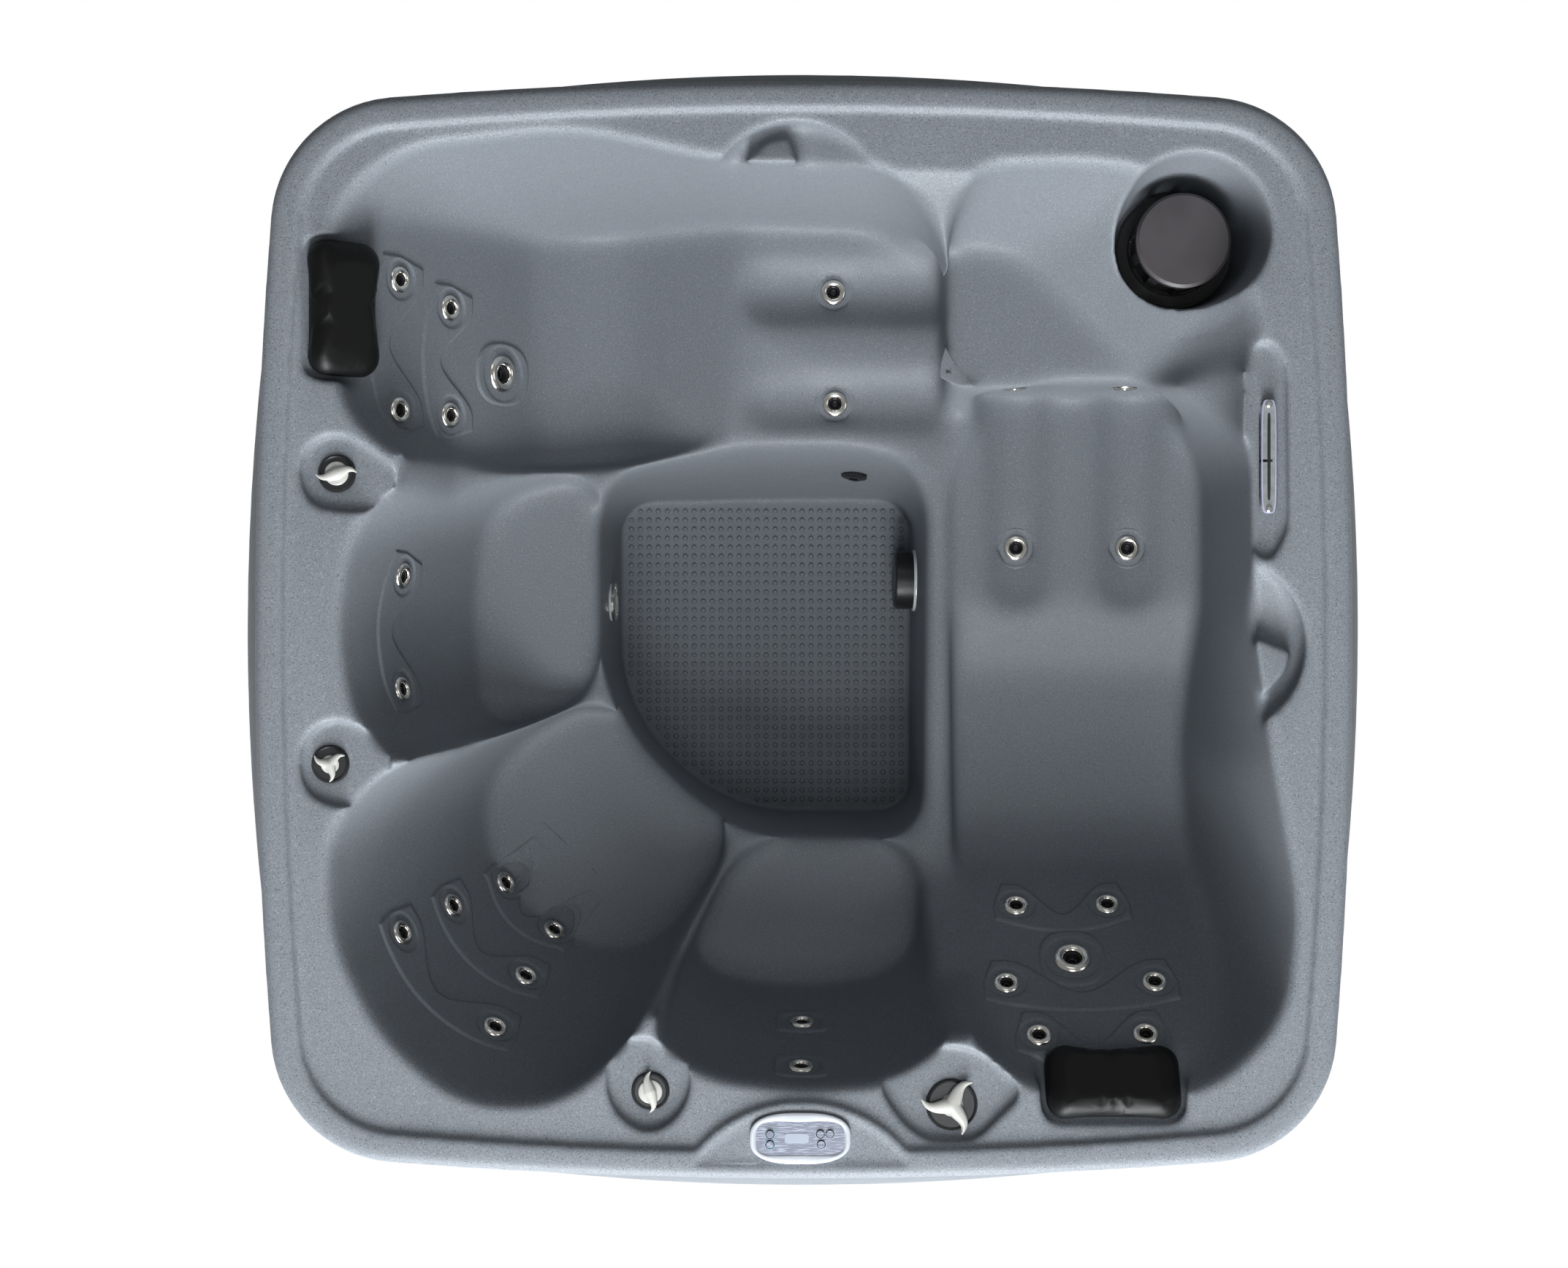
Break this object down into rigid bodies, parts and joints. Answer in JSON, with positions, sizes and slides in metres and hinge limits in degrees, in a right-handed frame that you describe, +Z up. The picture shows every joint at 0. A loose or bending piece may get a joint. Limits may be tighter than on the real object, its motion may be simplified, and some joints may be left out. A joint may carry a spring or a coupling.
{
  "type": "hot tub",
  "caption": "Square moulded hot tub with two loungers, seats, a footwell, turning massage jets, a control panel, a filter bowl and an equipment door in a bowed skirt.",
  "frame": {"origin": "on the floor, under the middle of the tub", "axes": "+Z up, the control panel and the access door on the -Y side, +X to the right seen from there"},
  "size_m": [2.032, 2.032, 0.8967],
  "materials": {
    "granite_shell": "fine speckled, matt",
    "granite_skirt": "fine speckled, matt",
    "base_plastic": "matt",
    "fitting_black": "satin",
    "jet_steel": "bright stainless",
    "knob_silver": "satin silver",
    "panel_grey": "gloss",
    "button_grey": "gloss",
    "clear_plastic": "clear, glossy",
    "screw_steel": "stainless",
    "lid_brown": "satin",
    "filter_fleece": "pleated fleece",
    "pillow_black": "satin skin on foam",
    "light_lens": "clear, glossy",
    "motor_black": "satin",
    "box_grey": "matt",
    "pipe_white": "gloss"
  },
  "bodies": {
    "tub": {"shell": "granite_shell", "skirt": "granite_skirt", "base_pan": "base_plastic", "jet_bodies": "fitting_black", "valve_bodies": "fitting_black", "panel_housing": "panel_grey", "waterfall_fitting": "clear_plastic", "screws": "screw_steel", "filter_housing": "fitting_black", "footwell_fittings": "fitting_black", "footwell_light": "light_lens", "pump": "motor_black", "spa_pack": "box_grey", "plumbing": "pipe_white", "drain_valve": "fitting_black", "cable_gland": "fitting_black"},
    "lounge_a_back_jet_1": {"lounge_a_back_jet_1": "jet_steel"},
    "lounge_a_back_jet_2": {"lounge_a_back_jet_2": "jet_steel"},
    "lounge_a_back_jet_3": {"lounge_a_back_jet_3": "jet_steel"},
    "lounge_a_back_jet_4": {"lounge_a_back_jet_4": "jet_steel"},
    "lounge_a_big_jet": {"lounge_a_big_jet": "jet_steel"},
    "lounge_a_calf_jet_1": {"lounge_a_calf_jet_1": "jet_steel"},
    "lounge_a_calf_jet_2": {"lounge_a_calf_jet_2": "jet_steel"},
    "lounge_b_back_jet_1": {"lounge_b_back_jet_1": "jet_steel"},
    "lounge_b_back_jet_2": {"lounge_b_back_jet_2": "jet_steel"},
    "lounge_b_back_jet_3": {"lounge_b_back_jet_3": "jet_steel"},
    "lounge_b_back_jet_4": {"lounge_b_back_jet_4": "jet_steel"},
    "lounge_b_back_jet_5": {"lounge_b_back_jet_5": "jet_steel"},
    "lounge_b_back_jet_6": {"lounge_b_back_jet_6": "jet_steel"},
    "lounge_b_big_jet": {"lounge_b_big_jet": "jet_steel"},
    "lounge_b_calf_jet_1": {"lounge_b_calf_jet_1": "jet_steel"},
    "lounge_b_calf_jet_2": {"lounge_b_calf_jet_2": "jet_steel"},
    "lounge_b_foot_jet_1": {"lounge_b_foot_jet_1": "jet_steel"},
    "lounge_b_foot_jet_2": {"lounge_b_foot_jet_2": "jet_steel"},
    "seat_c_jet_1": {"seat_c_jet_1": "jet_steel"},
    "seat_c_jet_2": {"seat_c_jet_2": "jet_steel"},
    "seat_d_jet_1": {"seat_d_jet_1": "jet_steel"},
    "seat_d_jet_2": {"seat_d_jet_2": "jet_steel"},
    "seat_d_jet_3": {"seat_d_jet_3": "jet_steel"},
    "seat_d_jet_4": {"seat_d_jet_4": "jet_steel"},
    "seat_d_jet_5": {"seat_d_jet_5": "jet_steel"},
    "seat_d_jet_6": {"seat_d_jet_6": "jet_steel"},
    "seat_e_jet_1": {"seat_e_jet_1": "jet_steel"},
    "seat_e_jet_2": {"seat_e_jet_2": "jet_steel"},
    "air_knob_left": {"air_knob_left": "knob_silver"},
    "waterfall_knob": {"waterfall_knob": "knob_silver"},
    "air_knob_front": {"air_knob_front": "knob_silver"},
    "diverter_knob": {"diverter_knob": "knob_silver"},
    "panel_button_1": {"panel_button_1": "button_grey"},
    "panel_button_2": {"panel_button_2": "button_grey"},
    "panel_button_3": {"panel_button_3": "button_grey"},
    "panel_button_4": {"panel_button_4": "button_grey"},
    "panel_button_5": {"panel_button_5": "button_grey"},
    "filter_basket": {"filter_basket": "fitting_black", "filter_cartridge": "filter_fleece"},
    "filter_lid": {"filter_lid": "lid_brown"},
    "pillow_a": {"pillow_a": "pillow_black"},
    "pillow_b": {"pillow_b": "pillow_black"},
    "access_door": {"access_door": "granite_skirt"},
    "drain_cap": {"drain_cap": "fitting_black"}
  },
  "joints": [
    {"name": "lounge_a_back_jet_1_turn", "type": "hinge", "parent": "tub", "child": "lounge_a_back_jet_1", "pos_m": [-0.7349, 0.6222, 0.71272], "axis": [0.8139, 0, 0.5809], "range_deg": [0, 90]},
    {"name": "lounge_a_back_jet_2_turn", "type": "hinge", "parent": "tub", "child": "lounge_a_back_jet_2", "pos_m": [-0.7349, 0.38976, 0.71272], "axis": [0.8139, 0, 0.5809], "range_deg": [0, 90]},
    {"name": "lounge_a_back_jet_3_turn", "type": "hinge", "parent": "tub", "child": "lounge_a_back_jet_3", "pos_m": [-0.65878, 0.58464, 0.60606], "axis": [0.8139, 0, 0.5809], "range_deg": [0, 90]},
    {"name": "lounge_a_back_jet_4_turn", "type": "hinge", "parent": "tub", "child": "lounge_a_back_jet_4", "pos_m": [-0.65878, 0.38976, 0.60606], "axis": [0.8139, 0, 0.5809], "range_deg": [0, 90]},
    {"name": "lounge_a_big_jet_turn", "type": "hinge", "parent": "tub", "child": "lounge_a_big_jet", "pos_m": [-0.57656, 0.47603, 0.49088], "axis": [0.8139, 0, 0.5809], "range_deg": [0, 90]},
    {"name": "lounge_a_calf_jet_1_turn", "type": "hinge", "parent": "tub", "child": "lounge_a_calf_jet_1", "pos_m": [0.05887, 0.63592, 0.42553], "axis": [0, -0.0236, 0.9997], "range_deg": [0, 90]},
    {"name": "lounge_a_calf_jet_2_turn", "type": "hinge", "parent": "tub", "child": "lounge_a_calf_jet_2", "pos_m": [0.06191, 0.42529, 0.4255], "axis": [0, 0, 1], "range_deg": [0, 90]},
    {"name": "lounge_b_back_jet_1_turn", "type": "hinge", "parent": "tub", "child": "lounge_b_back_jet_1", "pos_m": [0.39687, -0.52894, 0.50331], "axis": [0, 0.7723, 0.6353], "range_deg": [0, 90]},
    {"name": "lounge_b_back_jet_2_turn", "type": "hinge", "parent": "tub", "child": "lounge_b_back_jet_2", "pos_m": [0.56637, -0.52691, 0.50084], "axis": [0, 0.7723, 0.6353], "range_deg": [0, 90]},
    {"name": "lounge_b_back_jet_3_turn", "type": "hinge", "parent": "tub", "child": "lounge_b_back_jet_3", "pos_m": [0.36641, -0.65277, 0.65383], "axis": [0, 0.7723, 0.6353], "range_deg": [0, 90]},
    {"name": "lounge_b_back_jet_4_turn", "type": "hinge", "parent": "tub", "child": "lounge_b_back_jet_4", "pos_m": [0.63336, -0.65074, 0.65136], "axis": [0, 0.7723, 0.6353], "range_deg": [0, 90]},
    {"name": "lounge_b_back_jet_5_turn", "type": "hinge", "parent": "tub", "child": "lounge_b_back_jet_5", "pos_m": [0.41513, -0.73194, 0.75007], "axis": [0, 0.7723, 0.6353], "range_deg": [0, 90]},
    {"name": "lounge_b_back_jet_6_turn", "type": "hinge", "parent": "tub", "child": "lounge_b_back_jet_6", "pos_m": [0.60393, -0.72991, 0.7476], "axis": [0, 0.7723, 0.6353], "range_deg": [0, 90]},
    {"name": "lounge_b_big_jet_turn", "type": "hinge", "parent": "tub", "child": "lounge_b_big_jet", "pos_m": [0.49024, -0.6142, 0.60694], "axis": [0, 0.7723, 0.6353], "range_deg": [0, 90]},
    {"name": "lounge_b_calf_jet_1_turn", "type": "hinge", "parent": "tub", "child": "lounge_b_calf_jet_1", "pos_m": [0.406, 0.15529, 0.3875], "axis": [0, 0, 1], "range_deg": [0, 90]},
    {"name": "lounge_b_calf_jet_2_turn", "type": "hinge", "parent": "tub", "child": "lounge_b_calf_jet_2", "pos_m": [0.61712, 0.15529, 0.3875], "axis": [0, 0, 1], "range_deg": [0, 90]},
    {"name": "lounge_b_foot_jet_1_turn", "type": "hinge", "parent": "tub", "child": "lounge_b_foot_jet_1", "pos_m": [0.39483, 0.47418, 0.505], "axis": [0, -1, 0], "range_deg": [0, 90]},
    {"name": "lounge_b_foot_jet_2_turn", "type": "hinge", "parent": "tub", "child": "lounge_b_foot_jet_2", "pos_m": [0.59986, 0.47418, 0.505], "axis": [0, -1, 0], "range_deg": [0, 90]},
    {"name": "seat_c_jet_1_turn", "type": "hinge", "parent": "tub", "child": "seat_c_jet_1", "pos_m": [-0.73722, 0.09906, 0.67443], "axis": [0.9169, -0.1171, 0.3816], "range_deg": [0, 90]},
    {"name": "seat_c_jet_2_turn", "type": "hinge", "parent": "tub", "child": "seat_c_jet_2", "pos_m": [-0.73695, -0.11124, 0.68655], "axis": [0.9049, 0.2074, 0.3716], "range_deg": [0, 90]},
    {"name": "seat_d_jet_1_turn", "type": "hinge", "parent": "tub", "child": "seat_d_jet_1", "pos_m": [-0.5786, -0.4911, 0.39842], "axis": [0.7241, 0.489, 0.4864], "range_deg": [0, 90]},
    {"name": "seat_d_jet_2_turn", "type": "hinge", "parent": "tub", "child": "seat_d_jet_2", "pos_m": [-0.48052, -0.5857, 0.39786], "axis": [0.47, 0.7236, 0.5055], "range_deg": [0, 90]},
    {"name": "seat_d_jet_3_turn", "type": "hinge", "parent": "tub", "child": "seat_d_jet_3", "pos_m": [-0.6597, -0.5172, 0.54933], "axis": [0.7647, 0.4312, 0.4789], "range_deg": [0, 90]},
    {"name": "seat_d_jet_4_turn", "type": "hinge", "parent": "tub", "child": "seat_d_jet_4", "pos_m": [-0.52048, -0.65513, 0.53465], "axis": [0.4415, 0.742, 0.5045], "range_deg": [0, 90]},
    {"name": "seat_d_jet_5_turn", "type": "hinge", "parent": "tub", "child": "seat_d_jet_5", "pos_m": [-0.73237, -0.54959, 0.69527], "axis": [0.7917, 0.3819, 0.4768], "range_deg": [0, 90]},
    {"name": "seat_d_jet_6_turn", "type": "hinge", "parent": "tub", "child": "seat_d_jet_6", "pos_m": [-0.56018, -0.72875, 0.67821], "axis": [0.4017, 0.7659, 0.5019], "range_deg": [0, 90]},
    {"name": "seat_e_jet_1_turn", "type": "hinge", "parent": "tub", "child": "seat_e_jet_1", "pos_m": [-0.00112, -0.73825, 0.59498], "axis": [0.0048, 0.9625, 0.2713], "range_deg": [0, 90]},
    {"name": "seat_e_jet_2_turn", "type": "hinge", "parent": "tub", "child": "seat_e_jet_2", "pos_m": [-0.00463, -0.78899, 0.77537], "axis": [0.0253, 0.9623, 0.2707], "range_deg": [0, 90]},
    {"name": "air_knob_left_turn", "type": "hinge", "parent": "tub", "child": "air_knob_left", "pos_m": [-0.80693, 0.26999, 0.836], "axis": [0, 0, 1], "range_deg": [0, 180]},
    {"name": "waterfall_knob_turn", "type": "hinge", "parent": "tub", "child": "waterfall_knob", "pos_m": [-0.81809, -0.23244, 0.836], "axis": [0, 0, 1], "range_deg": [0, 180]},
    {"name": "air_knob_front_turn", "type": "hinge", "parent": "tub", "child": "air_knob_front", "pos_m": [-0.26492, -0.79779, 0.836], "axis": [0, 0, 1], "range_deg": [0, 180]},
    {"name": "diverter_knob_turn", "type": "hinge", "parent": "tub", "child": "diverter_knob", "pos_m": [0.25578, -0.82113, 0.836], "axis": [0, 0, 1], "range_deg": [0, 180]},
    {"name": "panel_button_1_press", "type": "slide", "parent": "tub", "child": "panel_button_1", "axis": [0, 0, -1], "range_m": [0, 0.0012], "stiffness_N_per_m": 600},
    {"name": "panel_button_2_press", "type": "slide", "parent": "tub", "child": "panel_button_2", "axis": [0, 0, -1], "range_m": [0, 0.0012], "stiffness_N_per_m": 600},
    {"name": "panel_button_3_press", "type": "slide", "parent": "tub", "child": "panel_button_3", "axis": [0, 0, -1], "range_m": [0, 0.0012], "stiffness_N_per_m": 600},
    {"name": "panel_button_4_press", "type": "slide", "parent": "tub", "child": "panel_button_4", "axis": [0, 0, -1], "range_m": [0, 0.0012], "stiffness_N_per_m": 600},
    {"name": "panel_button_5_press", "type": "slide", "parent": "tub", "child": "panel_button_5", "axis": [0, 0, -1], "range_m": [0, 0.0012], "stiffness_N_per_m": 600},
    {"name": "filter_basket_lift", "type": "slide", "parent": "tub", "child": "filter_basket", "axis": [0, 0, 1], "range_m": [0, 0.4]},
    {"name": "filter_lid_lift", "type": "slide", "parent": "filter_basket", "child": "filter_lid", "axis": [0, 0, 1], "range_m": [0, 0.12]},
    {"name": "pillow_a_pull", "type": "slide", "parent": "tub", "child": "pillow_a", "axis": [0.6157, 0, 0.788], "range_m": [0, 0.06]},
    {"name": "pillow_b_pull", "type": "slide", "parent": "tub", "child": "pillow_b", "axis": [0, 0.5446, 0.8387], "range_m": [0, 0.06]},
    {"name": "access_door_pull", "type": "slide", "parent": "tub", "child": "access_door", "axis": [0, -1, 0], "range_m": [0, 0.25]},
    {"name": "drain_cap_pull", "type": "slide", "parent": "tub", "child": "drain_cap", "axis": [0.0552, -0.9559, -0.2884], "range_m": [0, 0.03]}
  ]
}
